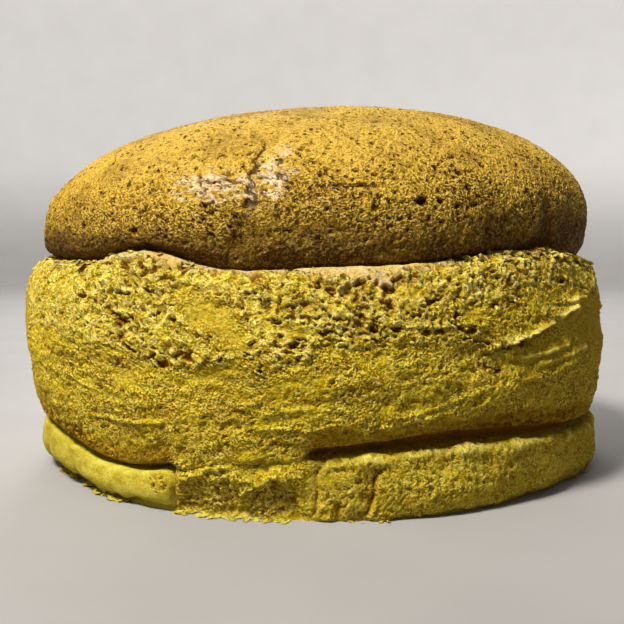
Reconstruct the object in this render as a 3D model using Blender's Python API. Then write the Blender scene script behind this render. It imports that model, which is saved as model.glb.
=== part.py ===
"""A matcha souffle cheesecake: one piece of sponge that rose out of its tin.

A pale foot, a belly that bulges over it and a browned cap that sits in the torn rim of the belly,
all one solid. Metres, +Z up, origin at the centre of the flat base. Angles go round from the front
(-Y) towards +X.
"""

import bmesh
import bpy
import numpy as np

# Driving dimensions
BELLY_RADIUS = 0.0808
FOOT_RADIUS = 0.0775
CAP_RADIUS = 0.0750
CAKE_HEIGHT = 0.0968
CREASE_HEIGHT = 0.0135  # the fold between the foot and the belly
RIM_HEIGHT = 0.0548  # the torn rim that the cap sits in
EQUATOR_HEIGHT = 0.0638  # where the cap is widest
BULGE_HEIGHT = 0.0348  # where the belly is widest
FOOT_SHIFT = 0.0024  # the foot slid this far towards +X under the belly
BULGE_TILT = 0.0060  # the belly is widest higher up on its -X side
CREASE_DEPTH = 0.0042
NECK_DEPTH = 0.0040  # how far the cap's underside tucks in behind its widest ring
CAP_TILT = np.radians(2.4)  # the cap rose higher on its +X side
CAP_ROUNDNESS = 2.14  # exponent of the cap's superellipse
LIP_DROP = 0.0028  # how far the belly's wall comes in at its lower lip
SHOULDER_DROP = 0.0032  # and at the shoulder under its torn rim

# Mesh density
SEGMENTS = 96
STEPS = 2  # rings between two outline points
CAP_RINGS = 12
BELLY_SHARES = (0.16, 0.36, 0.58, 0.80)  # heights of the belly's outline points

# Local changes round the cake: (centre in degrees, half width in degrees, height in metres)
RIM_WAVES = [(-31, 7, 0.0034), (-13, 8, -0.0010), (43, 13, 0.0032), (118, 15, 0.0022), (-112, 12, 0.0026)]
CREASE_WAVES = [(-36, 13, -0.0048), (27, 18, 0.0024), (118, 26, -0.0020), (-128, 22, 0.0020)]
BASE_LIFTS = [(-57, 12, 0.0035), (48, 14, 0.0032), (138, 12, 0.0025), (-150, 10, 0.0030)]
# Sectors where the belly runs straight down into the foot: (from, to) in degrees
FUSED_SECTORS = [(-24, -1), (146, 171)]
FUSED_EDGE = np.radians(2.0)


def turn_between(theta, centre):
    """Signed angle from centre to theta, in -pi to pi."""
    return (theta - centre + np.pi) % (2 * np.pi) - np.pi


def waves(theta, bumps):
    """Sum of smooth bumps round the cake."""
    total = np.zeros_like(theta)
    for centre, width, height in bumps:
        away = turn_between(theta, np.radians(centre)) / np.radians(width)
        total += height * np.exp(-0.5 * away**2)
    return total


def fused(theta):
    """1 where the belly and foot are one wall, 0 where the crease parts them."""
    share = np.zeros_like(theta)
    for start, end in np.radians(FUSED_SECTORS):
        inside = (end - start) / 2 - np.abs(turn_between(theta, (start + end) / 2))
        share = np.maximum(share, 1 / (1 + np.exp(-4 * inside / FUSED_EDGE)))
    return share


def foot_outline(theta, crease, joined):
    """Outline points from the base up to the bottom of the crease, as (radius, height) pairs."""
    lift = waves(theta, BASE_LIFTS)
    radius = FOOT_RADIUS + FOOT_SHIFT * np.sin(theta) - 0.0006 * joined
    top_edge = radius - 0.0008
    return [
        (radius - 0.0021 - lift, 0 * theta),
        (radius - 0.0007 - 0.7 * lift, 0.0012 + 0.2 * lift),
        (radius - 0.1 * lift, 0.36 * crease + 0.2 * lift),
        (radius - 0.0001, 0.72 * crease),
        (top_edge, crease - 0.0009),
        (top_edge - CREASE_DEPTH * (1 - joined), crease),
    ]


def belly_outline(theta, crease, rim, joined):
    """Outline points of the barrel between the crease and the torn rim."""
    side = np.sin(theta)
    lip = crease + 0.0014
    shoulder = rim - 0.0022
    bulge = (BULGE_HEIGHT - BULGE_TILT * side - lip) / (shoulder - lip)
    lip_drop = LIP_DROP - 0.0012 * side + 0.0005 * joined
    points = [(BELLY_RADIUS - lip_drop, lip)]
    for share in BELLY_SHARES:
        under = np.clip((bulge - share) / bulge, 0, 1)
        over = np.clip((share - bulge) / (1 - bulge), 0, 1)
        drop = lip_drop * under**2 + SHOULDER_DROP * over**2
        points.append((BELLY_RADIUS - drop, lip + share * (shoulder - lip)))
    points.append((BELLY_RADIUS - SHOULDER_DROP - 0.0004 + 0 * theta, shoulder))
    return points


def cap_outline(theta, rim):
    """Outline points of the cap's underside, from the torn rim out to its widest ring."""
    equator = EQUATOR_HEIGHT + CAP_RADIUS * np.sin(theta) * np.tan(CAP_TILT)
    radius = CAP_RADIUS + 0 * theta
    return [
        (radius - 0.0014, rim - 0.0001),
        (radius - NECK_DEPTH, rim + 0.0004),
        (radius - 0.0022, rim + 0.0018),
        (radius - 0.0006, 0.55 * rim + 0.45 * equator + 0.0004),
        (radius, equator),
    ]


def outline(theta):
    """The whole wall's outline from the base to the cap's widest ring."""
    rim = RIM_HEIGHT + waves(theta, RIM_WAVES)
    crease = CREASE_HEIGHT + waves(theta, CREASE_WAVES)
    joined = fused(theta)
    foot = foot_outline(theta, crease, joined)
    return foot + belly_outline(theta, crease, rim, joined) + cap_outline(theta, rim)


def through(points, steps):
    """Rings on a Catmull-Rom curve through outline points, which are arrays round the cake."""
    points = [np.array(np.broadcast_arrays(*p)) for p in points]
    ends = [2 * points[0] - points[1], *points, 2 * points[-1] - points[-2]]
    rings = []
    for before, here, there, after in zip(ends, ends[1:], ends[2:], ends[3:]):
        for t in np.arange(steps) / steps:
            rings.append(
                here
                + 0.5 * t * (there - before)
                + t * t * (before - 2.5 * here + 2 * there - 0.5 * after)
                + 0.5 * t**3 * (3 * here - before - 3 * there + after)
            )
    return rings


def dome(theta):
    """Rings of the cap above its widest ring, as (radius, height) rows, without the apex."""
    rings = []
    for climb in np.linspace(0, np.pi / 2, CAP_RINGS, endpoint=False):
        radius = CAP_RADIUS * np.cos(climb) ** (2 / CAP_ROUNDNESS)
        rise = (CAKE_HEIGHT - EQUATOR_HEIGHT) * np.sin(climb) ** (2 / CAP_ROUNDNESS)
        tilt = radius * np.sin(theta) * np.tan(CAP_TILT)
        rings.append(np.array([radius + 0 * theta, EQUATOR_HEIGHT + rise + tilt]))
    return rings


def unevenness(theta, height):
    """Broad lumps of a hand-baked wall, in metres, which fade out at the base."""
    lumps = (
        0.00045 * np.sin(3 * theta + 0.7 + 40 * height)
        + 0.00035 * np.sin(7 * theta - 1.9 - 90 * height)
        + 0.00025 * np.sin(13 * theta + 2.6 + 210 * height)
    )
    folds = 0.0003 * np.sin(420 * height + 1.6 * np.sin(4 * theta) + 2 * np.sin(theta))
    on_belly = np.exp(-(((height - BULGE_HEIGHT) / 0.014) ** 2))
    return np.clip(height / 0.006, 0, 1) * (lumps + folds * on_belly)


def surface_rings():
    """All rings as (SEGMENTS, 3) arrays of points, from the base's edge to the one below the apex."""
    theta = np.arange(SEGMENTS) * 2 * np.pi / SEGMENTS
    found = []
    for radius, height in through(outline(theta), STEPS) + dome(theta):
        out = radius + unevenness(theta, height) * radius / BELLY_RADIUS
        found.append(np.stack([out * np.sin(theta), -out * np.cos(theta), height], 1))
    return found


def centred(rings):
    """The rings moved sideways so that their box is centred on the origin."""
    every = np.concatenate(rings)
    middle = (every.min(0) + every.max(0)) / 2
    return [ring - [middle[0], middle[1], 0] for ring in rings]


def ring_of_faces(bm, low, high):
    """Quads between two rings of vertices; returns the faces."""
    following = range(1, SEGMENTS + 1)
    return [
        bm.faces.new((low[i], low[j % SEGMENTS], high[j % SEGMENTS], high[i]))
        for i, j in zip(range(SEGMENTS), following)
    ]


def cake_mesh():
    """The closed mesh, with the cap's faces on the second material."""
    bm = bmesh.new()
    rings = [[bm.verts.new(p) for p in ring] for ring in centred(surface_rings())]
    first_cap_ring = len(rings) - CAP_RINGS - 2 * STEPS
    bm.faces.new(rings[0][::-1])
    for level, (low, high) in enumerate(zip(rings, rings[1:])):
        for face in ring_of_faces(bm, low, high):
            face.material_index = int(level >= first_cap_ring)
    apex = bm.verts.new((0, 0, CAKE_HEIGHT - 0.0002))
    top = rings[-1]
    for i in range(SEGMENTS):
        bm.faces.new((top[i], top[(i + 1) % SEGMENTS], apex)).material_index = 1
    bmesh.ops.triangulate(bm, faces=[f for f in bm.faces if len(f.verts) > 4])
    mesh = bpy.data.meshes.new("cheesecake")
    bm.to_mesh(mesh)
    bm.free()
    mesh.shade_smooth()
    mesh.set_sharp_from_angle(angle=np.radians(60))
    return mesh


def material(name, colour, roughness):
    """A plain matte food material."""
    made = bpy.data.materials.new(name)
    made.use_nodes = True
    shader = made.node_tree.nodes["Principled BSDF"]
    shader.inputs["Base Color"].default_value = (*colour, 1)
    shader.inputs["Roughness"].default_value = roughness
    shader.inputs["Metallic"].default_value = 0
    made.diffuse_color = (*colour, 1)
    return made


def main():
    for old in list(bpy.data.objects):
        bpy.data.objects.remove(old)
    cake = bpy.data.objects.new("cheesecake", cake_mesh())
    cake.data.materials.append(material("matcha_crumb", (0.42, 0.31, 0.035), 0.9))
    cake.data.materials.append(material("browned_crust", (0.50, 0.29, 0.06), 0.65))
    bpy.context.scene.collection.objects.link(cake)


main()
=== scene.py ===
"""The looks of a matcha souffle cheesecake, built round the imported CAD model.

The CAD solid gives the size. The wall here has the same outline, at a fine spacing, and is worn by torn
crumb, gas bubbles, wrinkles and cracks, which are real relief. Angles go round from the front (-Y)
towards +X. MM is one millimetre, worked out from the frame.
"""

import itertools

import bmesh
import bpy
import numpy as np
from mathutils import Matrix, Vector


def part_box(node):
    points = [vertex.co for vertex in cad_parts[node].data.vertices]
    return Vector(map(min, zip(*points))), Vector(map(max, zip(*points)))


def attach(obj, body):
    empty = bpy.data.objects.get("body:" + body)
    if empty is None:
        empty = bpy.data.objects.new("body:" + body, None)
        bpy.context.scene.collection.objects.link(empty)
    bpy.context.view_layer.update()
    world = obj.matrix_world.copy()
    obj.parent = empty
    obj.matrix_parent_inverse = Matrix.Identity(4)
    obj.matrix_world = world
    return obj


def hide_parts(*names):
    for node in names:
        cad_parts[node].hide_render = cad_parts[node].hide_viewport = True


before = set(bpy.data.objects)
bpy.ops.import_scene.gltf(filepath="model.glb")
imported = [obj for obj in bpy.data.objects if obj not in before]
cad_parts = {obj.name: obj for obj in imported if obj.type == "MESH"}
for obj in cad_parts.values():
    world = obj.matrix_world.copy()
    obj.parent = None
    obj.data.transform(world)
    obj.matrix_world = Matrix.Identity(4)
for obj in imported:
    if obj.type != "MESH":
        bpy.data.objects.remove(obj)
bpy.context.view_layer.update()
LOW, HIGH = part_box("cheesecake")

# Driving dimensions, the same as in the CAD model
MM = (HIGH.x - LOW.x) / 162.2
BELLY_RADIUS = 80.8 * MM
FOOT_RADIUS = 77.5 * MM
CAP_RADIUS = 75.0 * MM
CAKE_HEIGHT = HIGH.z - 0.2 * MM
CREASE_HEIGHT = 13.5 * MM
RIM_HEIGHT = 54.8 * MM
EQUATOR_HEIGHT = 63.8 * MM
BULGE_HEIGHT = 34.8 * MM
FOOT_SHIFT = 2.4 * MM
BULGE_TILT = 6.0 * MM
CREASE_DEPTH = 4.2 * MM
NECK_DEPTH = 4.0 * MM
CAP_TILT = np.radians(2.4)
CAP_ROUNDNESS = 2.14
LIP_DROP = 2.8 * MM
SHOULDER_DROP = 3.2 * MM
BELLY_SHARES = (0.16, 0.36, 0.58, 0.80)
RIM_WAVES = [(-31, 7, 3.4), (-13, 8, -1.0), (43, 13, 3.2), (118, 15, 2.2), (-112, 12, 2.6)]
CREASE_WAVES = [(-36, 13, -4.8), (27, 18, 2.4), (118, 26, -2.0), (-128, 22, 2.0)]
BASE_LIFTS = [(-57, 12, 3.5), (48, 14, 3.2), (138, 12, 2.5), (-150, 10, 3.0)]
FUSED_SECTORS = [(-24, -1), (146, 171)]
FUSED_EDGE = np.radians(2.0)

# Places on the outline, counted in outline points from the base
CREASE_PLACE = 5
LIP_PLACE = 6
SHOULDER_PLACE = 11
NECK_PLACE = 13
EQUATOR_PLACE = 16

# ---------------------------------------------------------------- random fields

TABLE_SIDE = 64
_dice = np.random.default_rng(20)
CELLS = _dice.random((TABLE_SIDE,) * 3 + (5,), dtype=np.float32)
SLOPES = _dice.normal(size=(TABLE_SIDE,) * 3 + (3,)).astype(np.float32)
SLOPES /= np.linalg.norm(SLOPES, axis=3, keepdims=True)


def looked_up(table, index, seed):
    """Rows of a repeating random table for integer grid points."""
    i, j, k = ((index + np.array([7, 13, 29]) * seed) % TABLE_SIDE).T
    return table[i, j, k]


def noise(points, size, seed=0):
    """Smooth gradient noise of about -1 to 1 with lumps of the given size."""
    place = points / size
    low = np.floor(place).astype(np.int64)
    part = (place - low).astype(np.float32)
    ease = part**3 * (part * (part * 6 - 15) + 10)
    total = np.zeros(len(points), np.float32)
    for corner in itertools.product((0, 1), repeat=3):
        slope = looked_up(SLOPES, low + corner, seed)
        weight = np.prod(np.where(corner, ease, 1 - ease), axis=1)
        total += weight * np.einsum("ij,ij->i", slope, part - corner)
    return 1.7 * total


def rough(points, size, octaves, seed=0):
    """Noise of several sizes, each half as large and half as strong as the last."""
    total = np.zeros(len(points), np.float32)
    for octave in range(octaves):
        total += noise(points, size / 2**octave, seed + octave) / 2**octave
    return total


def grains(points, size, seed=0):
    """Distance to the nearest grain's middle and to the next one's, in grain sizes."""
    place = points / size
    low = np.floor(place).astype(np.int64)
    nearest = np.full(len(points), 9.0, np.float32)
    second = nearest.copy()
    for offset in itertools.product((-1, 0, 1), repeat=3):
        index = low + offset
        middle = index + looked_up(CELLS, index, seed)[:, :3]
        away = np.linalg.norm(place - middle, axis=1).astype(np.float32)
        second = np.minimum(second, np.maximum(nearest, away))
        nearest = np.minimum(nearest, away)
    return nearest, second


def bubbles(points, outward, spacing, smallest, largest, share, seed=0):
    """How far points of a surface move inward to line the gas bubbles that it cuts open."""
    place = points / spacing
    low = np.floor(place).astype(np.int64)
    depth = np.zeros(len(points), np.float32)
    for offset in itertools.product((-1, 0, 1), repeat=3):
        index = low + offset
        random = looked_up(CELLS, index, seed)
        radius = smallest + (largest - smallest) * random[:, 3] ** 2
        away = points - (index + random[:, :3]) * spacing
        above = np.einsum("ij,ij->i", away, outward)
        inside = radius**2 - np.einsum("ij,ij->i", away, away)
        cut = (inside > 0) & (random[:, 4] < share)
        reach = above + np.sqrt(np.maximum(inside + above**2, 0))
        depth = np.maximum(depth, np.where(cut, reach, 0))
    return depth


def sheer(value, low, high):
    """0 below low, 1 above high, smooth between."""
    t = np.clip((value - low) / (high - low), 0, 1)
    return t * t * (3 - 2 * t)


# ---------------------------------------------------------------- the outline, as in the CAD model


def turn_between(theta, centre):
    """Signed angle from centre to theta, in -pi to pi."""
    return (theta - centre + np.pi) % (2 * np.pi) - np.pi


def waves(theta, bumps):
    """Sum of smooth bumps round the cake, from (centre in degrees, half width in degrees, height in mm)."""
    total = np.zeros_like(theta)
    for centre, width, height in bumps:
        away = turn_between(theta, np.radians(centre)) / np.radians(width)
        total += height * MM * np.exp(-0.5 * away**2)
    return total


def fused(theta):
    """1 where the belly and foot are one wall, 0 where the crease parts them."""
    share = np.zeros_like(theta)
    for start, end in np.radians(FUSED_SECTORS):
        inside = (end - start) / 2 - np.abs(turn_between(theta, (start + end) / 2))
        share = np.maximum(share, 1 / (1 + np.exp(-4 * inside / FUSED_EDGE)))
    return share


def foot_outline(theta, crease, joined):
    """Outline points from the base up to the bottom of the crease, as (radius, height) pairs."""
    lift = waves(theta, BASE_LIFTS)
    radius = FOOT_RADIUS + FOOT_SHIFT * np.sin(theta) - 0.6 * MM * joined
    top_edge = radius - 0.8 * MM
    return [
        (radius - 2.1 * MM - lift, 0 * theta),
        (radius - 0.7 * MM - 0.7 * lift, 1.2 * MM + 0.2 * lift),
        (radius - 0.1 * lift, 0.36 * crease + 0.2 * lift),
        (radius - 0.1 * MM, 0.72 * crease),
        (top_edge, crease - 0.9 * MM),
        (top_edge - CREASE_DEPTH * (1 - joined), crease),
    ]


def belly_outline(theta, crease, rim, joined):
    """Outline points of the barrel between the crease and the torn rim."""
    side = np.sin(theta)
    lip = crease + 1.4 * MM
    shoulder = rim - 2.2 * MM
    bulge = (BULGE_HEIGHT - BULGE_TILT * side - lip) / (shoulder - lip)
    lip_drop = LIP_DROP - 1.2 * MM * side + 0.5 * MM * joined
    points = [(BELLY_RADIUS - lip_drop, lip)]
    for share in BELLY_SHARES:
        under = np.clip((bulge - share) / bulge, 0, 1)
        over = np.clip((share - bulge) / (1 - bulge), 0, 1)
        drop = lip_drop * under**2 + SHOULDER_DROP * over**2
        points.append((BELLY_RADIUS - drop, lip + share * (shoulder - lip)))
    points.append((BELLY_RADIUS - SHOULDER_DROP - 0.4 * MM + 0 * theta, shoulder))
    return points


def cap_outline(theta, rim):
    """Outline points of the cap's underside, from the torn rim out to its widest ring."""
    equator = EQUATOR_HEIGHT + CAP_RADIUS * np.sin(theta) * np.tan(CAP_TILT)
    radius = CAP_RADIUS + 0 * theta
    return [
        (radius - 1.4 * MM, rim - 0.1 * MM),
        (radius - NECK_DEPTH, rim + 0.4 * MM),
        (radius - 2.2 * MM, rim + 1.8 * MM),
        (radius - 0.6 * MM, 0.55 * rim + 0.45 * equator + 0.4 * MM),
        (radius, equator),
    ]


def bridged(theta, place):
    """How far the wall stands out in mm to run straight from the belly to the foot where they are fused."""
    rise = 2.1 * sheer(place, 1.8, 3.4) - 0.8
    return fused(theta) * np.where(place < CREASE_PLACE, rise, 1.3 * sheer(-place, -7.2, -CREASE_PLACE))


def on_right(theta):
    """1 at the front right, where the crease gapes, 0 elsewhere."""
    return np.exp(-((turn_between(theta, np.radians(26)) / np.radians(24)) ** 2))


def gape(theta, place):
    """How far in mm the wall draws back at the crease, which gapes most at the front right."""
    shut = sheer(-np.sin(theta), 0.3, 0.6) * sheer(np.cos(theta), 0, 0.3)
    wide = 0.3 + 0.8 * on_right(theta) - 1.6 * shut
    return wide * (1 - fused(theta)) * np.exp(-(((place - 5.2) / 0.5) ** 2))


def rim_height(theta):
    return RIM_HEIGHT + waves(theta, RIM_WAVES)


def crease_height(theta):
    return CREASE_HEIGHT + waves(theta, CREASE_WAVES)


def outline(theta):
    """The whole wall's outline from the base to the cap's widest ring."""
    rim = rim_height(theta)
    crease = crease_height(theta)
    joined = fused(theta)
    foot = foot_outline(theta, crease, joined)
    return foot + belly_outline(theta, crease, rim, joined) + cap_outline(theta, rim)


def on_outline(theta, place):
    """Radius and height at a place on the Catmull-Rom curve through the outline points."""
    points = np.array([np.broadcast_arrays(*p) for p in outline(theta)])
    ends = np.concatenate([[2 * points[0] - points[1]], points, [2 * points[-1] - points[-2]]])
    step = np.clip(np.floor(place).astype(int), 0, len(points) - 2)
    t = place - step
    column = np.arange(len(theta))
    before, here, there, after = (ends[step + k, :, column].T for k in range(4))
    return (
        here
        + 0.5 * t * (there - before)
        + t * t * (before - 2.5 * here + 2 * there - 0.5 * after)
        + 0.5 * t**3 * (3 * here - before - 3 * there + after)
    )


def on_dome(theta, climb):
    """Radius and height on the cap above its widest ring, where climb goes from 0 there to 1 at the apex."""
    angle = np.clip(climb, 0, 1) * np.pi / 2
    radius = CAP_RADIUS * np.cos(angle) ** (2 / CAP_ROUNDNESS)
    rise = (CAKE_HEIGHT - EQUATOR_HEIGHT) * np.sin(angle) ** (2 / CAP_ROUNDNESS)
    return radius, EQUATOR_HEIGHT + rise + radius * np.sin(theta) * np.tan(CAP_TILT)


def unevenness(theta, height):
    """Broad lumps of a hand-baked wall, which fade out at the base."""
    lumps = (
        0.45 * np.sin(3 * theta + 0.7 + 0.040 * height / MM)
        + 0.35 * np.sin(7 * theta - 1.9 - 0.090 * height / MM)
        + 0.25 * np.sin(13 * theta + 2.6 + 0.210 * height / MM)
    )
    folds = 0.3 * np.sin(0.420 * height / MM + 1.6 * np.sin(4 * theta) + 2 * np.sin(theta))
    on_belly = np.exp(-(((height - BULGE_HEIGHT) / (14 * MM)) ** 2))
    return np.clip(height / (6 * MM), 0, 1) * (lumps + folds * on_belly) * MM


LAST_PLACE = EQUATOR_PLACE + 1


def plain_surface(theta, place):
    """Points of the plain wall: outline places up to EQUATOR_PLACE, then the dome up to LAST_PLACE."""
    radius, height = on_outline(theta, np.minimum(place, EQUATOR_PLACE))
    dome_radius, dome_height = on_dome(theta, place - EQUATOR_PLACE)
    on_top = place > EQUATOR_PLACE
    radius = np.where(on_top, dome_radius, radius)
    height = np.where(on_top, dome_height, height)
    out = radius + unevenness(theta, height) * radius / BELLY_RADIUS
    return np.stack([out * np.sin(theta), -out * np.cos(theta), height], 1)


def middle_of_wall():
    """Centre of the plain wall's box, which the CAD model has on the origin."""
    theta = np.linspace(0, 2 * np.pi, 360, endpoint=False)
    rings = [plain_surface(theta, np.full(len(theta), place)) for place in np.arange(0, 17, 0.5)]
    every = np.concatenate(rings)
    return (every.min(0) + every.max(0)) / 2 * [1, 1, 0]


WALL_MIDDLE = middle_of_wall()


def surface(theta, place):
    return plain_surface(theta, place) - WALL_MIDDLE


def outward_of(theta, place):
    """Unit normals of the plain wall."""
    turn, rise = 1e-3, 1e-3
    low = np.clip(place, 0, LAST_PLACE - 2 * rise)
    round_it = surface(theta + turn, low) - surface(theta - turn, low)
    up_it = surface(theta, low + rise) - surface(theta, np.maximum(low - rise, 0))
    normal = np.cross(round_it, up_it)
    return normal / np.maximum(np.linalg.norm(normal, axis=1, keepdims=True), 1e-12)


# ---------------------------------------------------------------- rings of points and their triangles

# (piece, from place, to place, spacing in mm), from the base up
PARTS = [
    ("foot", 0, CREASE_PLACE, 0.41),
    ("belly_low", CREASE_PLACE, 8.6, 0.44),
    ("belly_middle", 8.6, 10.05, 0.30),
    ("belly_high", 10.05, NECK_PLACE, 0.31),
    ("cap_flank", NECK_PLACE, 16.35, 0.41),
    ("cap_crown", 16.35, LAST_PLACE, 0.41),
]


def ring_places(start, end, spacing):
    """Places from start to end whose rings lie about spacing apart on the wall."""
    theta = np.linspace(0, 2 * np.pi, 48, endpoint=False)
    places = np.linspace(start, end, 600)
    rings = np.array([surface(theta, np.full(48, place)) for place in places])
    steps = np.linalg.norm(np.diff(rings, axis=0), axis=2).mean(1)
    along = np.concatenate([[0], np.cumsum(steps)])
    count = int(round(along[-1] / spacing))
    return np.interp(np.linspace(0, along[-1], count + 1), along, places)


def ring_count(place, spacing):
    theta = np.linspace(0, 2 * np.pi, 48, endpoint=False)
    ring = surface(theta, np.full(48, place)) + WALL_MIDDLE
    radius = np.hypot(ring[:, 0], ring[:, 1]).mean()
    return max(6, int(round(2 * np.pi * radius / spacing)))


def wall_rings():
    """(place, number of points, piece above it) for each ring from the base's edge to the apex."""
    rings = []
    for index, (_, start, end, spacing) in enumerate(PARTS):
        places = ring_places(start, end, spacing * MM)
        for place in places[:-1]:
            rings.append((place, ring_count(place, spacing * MM), index))
    return rings


def between_rings(low_start, low_count, high_start, high_count):
    """Triangles that join two closed rings of points, whatever their counts, facing out."""
    swapped = low_count < high_count
    start, count, other, fewer = low_start, low_count, high_start, high_count
    if swapped:
        start, count, other, fewer = high_start, high_count, low_start, low_count
    i = np.arange(count)
    over = ((i + 0.5) * fewer / count).astype(int) % fewer
    wide = np.stack([start + i, start + (i + 1) % count, other + over], 1)
    j = np.arange(fewer)
    first = np.ceil((j + 1) * count / fewer - 0.5).astype(int) % count
    narrow = np.stack([other + j, start + first, other + (j + 1) % fewer], 1)
    faces = np.concatenate([wide, narrow])
    return faces[:, ::-1] if swapped else faces


def vertex_normals(points, faces):
    """Area-weighted vertex normals."""
    a, b, c = (points[faces[:, k]] for k in range(3))
    facing = np.cross(b - a, c - a)
    total = np.stack(
        [
            sum(np.bincount(faces[:, k], facing[:, axis], len(points)) for k in range(3))
            for axis in range(3)
        ],
        1,
    )
    return total / np.maximum(np.linalg.norm(total, axis=1, keepdims=True), 1e-20)


# ---------------------------------------------------------------- relief


def billow(points, size, seed=0):
    """Rounded clumps with sharp creases between them, 0 in the creases."""
    return np.abs(noise(points, size, seed))


def stirred(points, size, reach, seed=0):
    """Points moved about by smooth noise, so that what is laid out on them turns uneven."""
    return points + reach * np.stack([noise(points, size, seed + k) for k in range(3)], 1)


def spot(theta, height, centre, centre_height, width, tall):
    """1 in the middle of a round spot on the wall, 0 well outside it; degrees and mm."""
    across = turn_between(theta, np.radians(centre)) / np.radians(width)
    up = (height - centre_height) / tall
    return np.exp(-(across**2) - up**2)


def along_line(theta, start, end, heights):
    """Height of a curved line through heights at its start, middle and end, and 1 on its length, 0 past it."""
    middle = np.radians((start + end) / 2)
    t = turn_between(theta, middle) / np.radians((end - start) / 2)
    low, mid, high = heights
    return mid + t * (high - low) / 2 + t**2 * ((high + low) / 2 - mid), sheer(1.1 - np.abs(t), 0, 0.25)


def ridge(theta, height, start, end, heights, width):
    """1 along a curved line on the wall."""
    line, fade = along_line(theta, start, end, heights)
    return fade * np.exp(-(((height - line) / width) ** 2))


def lip(theta, height, start, end, heights, drop):
    """An overhanging edge: full above the line, falling off away from it, and a hollow just below it."""
    line, fade = along_line(theta, start, end, heights)
    above = height - line
    edge = np.where(above > -0.25, np.exp(-np.maximum(above, 0) / drop), 0) * sheer(above, -0.25, 0.25)
    return fade * (edge - 0.3 * np.exp(-(((above + 0.75) / 0.45) ** 2)))


TORN_EDGE = 36.5
TORN_EDGE_WAVES = [
    (-20, 10, -2.5),
    (24, 9, 4.5),
    (42, 12, 11.0),
    (62, 12, 8.0),
    (-52, 14, 3.0),
    (110, 20, -4.0),
    (150, 12, 5.0),
    (178, 16, -3.0),
    (-120, 20, 4.0),
    (-158, 12, -2.0),
]
SKIN_PATCHES = [
    (-20, 49, 3.4, 3.2),
    (-16, 45, 4.4, 4.6),
    (-12, 40.5, 3.4, 4.2),
    (-34, 31, 6, 4),
    (-47, 35, 6, 3.5),
    (9, 52, 3, 2),
    (95, 46, 8, 5),
    (162, 47, 7, 6),
    (-122, 46, 9, 5),
]
# (angle, height, half width in degrees, half height in mm, smoothness)
FOLDED = [
    (43, 35.5, 9, 4.5, 0.55),
    (60, 40, 15, 9, 0.65),
    (-19, 47.5, 3.4, 4.0, 0.38),
    (-14, 42.5, 3.6, 4.4, 0.38),
    (-62, 22, 12, 4, 0.5),
    (-74, 38, 9, 14, 0.5),
    (118, 32, 16, 7, 0.8),
    (-160, 40, 10, 5, 0.7),
]
RIM_SKINS = [
    (-30, 9, 1.2),
    (-44, 5, 0.4),
    (-13, 8, 0.6),
    (7.5, 9, 1.7),
    (22, 5, 0.6),
    (40, 12, 0.6),
    (110, 14, 0.8),
    (172, 12, 1.2),
    (-140, 16, 0.7),
]
RIDGES = [
    (-40, -24, (20.6, 20.4, 21.2), 0.42, 0.75),
    (-47, -37, (30.2, 28.0, 26.6), 0.45, 0.5),
    (-9, 1, (20.8, 21.4, 19.6), 0.45, 0.6),
    (5, 24, (20.0, 22.0, 24.5), 0.5, 0.55),
    (2, 12, (17.0, 18.6, 20.2), 0.45, 0.45),
    (12, 28, (22.8, 25.4, 28.6), 0.5, 0.45),
    (18, 32, (20.4, 23.6, 27.4), 0.5, 0.4),
    (-8, 6, (24.0, 25.6, 24.6), 0.6, 0.4),
    (86, 112, (24, 27, 25), 0.7, 0.7),
    (150, 172, (30, 27, 29), 0.7, 0.8),
    (-152, -128, (22, 26, 28), 0.7, 0.8),
    (-105, -84, (30, 28, 31), 0.7, 0.6),
]
LIPS = [
    (12, 26, (43.2, 42.1, 42.7), 1.6, 0.5),
    (28, 54, (36.4, 40.3, 45.4), 1.5, 1.5),
    (30, 53, (34.0, 34.8, 37.0), 1.3, 1.2),
    (36, 60, (28.8, 31.0, 37.0), 1.5, 1.1),
    (44, 58, (43.0, 44.0, 47.0), 1.2, 1.0),
    (45, 66, (46.0, 46.5, 50.5), 1.4, 0.9),
    (40, 56, (32.0, 33.2, 35.0), 1.1, 0.8),
    (53, 69, (39.0, 41.0, 44.0), 1.4, 0.7),
    (56, 72, (30.0, 32.0, 36.0), 1.4, 0.6),
    (34, 48, (38.2, 40.0, 41.6), 1.0, 0.9),
    (-34, -24, (26.0, 24.6, 25.4), 2.0, 0.5),
    (-68, -54, (26.0, 23.6, 24.0), 2.4, 0.6),
    (-2, 8, (19.6, 21.4, 20.6), 1.8, 0.7),
    (11, 24, (18.6, 20.6, 23.0), 1.8, 0.6),
    (88, 116, (30, 33, 31), 2.6, 1.2),
    (104, 132, (37, 35, 38), 2.4, 1.2),
    (124, 144, (24, 22, 25), 2.6, 1.1),
    (176, 200, (32, 35, 33), 2.6, 1.1),
    (-140, -118, (27, 30, 29), 2.6, 1.1),
    (-104, -82, (34, 31, 33), 2.6, 1.1),
]
# (angle, half width in degrees) where the belly's lower edge is worn and pitted
WORN_EDGES = [(-54, 11), (44, 16), (125, 12), (-140, 14)]
# Ragged edges of torn crumb over the fused columns of the foot
FOOT_LIPS = [
    (-23.5, -13.3, (6.4, 9.4, 11.6), 1.0, 0.9),
    (-12.6, -6.4, (4.8, 7.2, 9.8), 1.0, 1.0),
    (-7.0, -3.0, (9.6, 8.8, 5.8), 1.0, 0.9),
    (147, 158, (9.5, 10.4, 9.0), 1.5, 1.2),
    (159, 170, (7.0, 9.2, 8.0), 1.5, 1.2),
]
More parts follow.
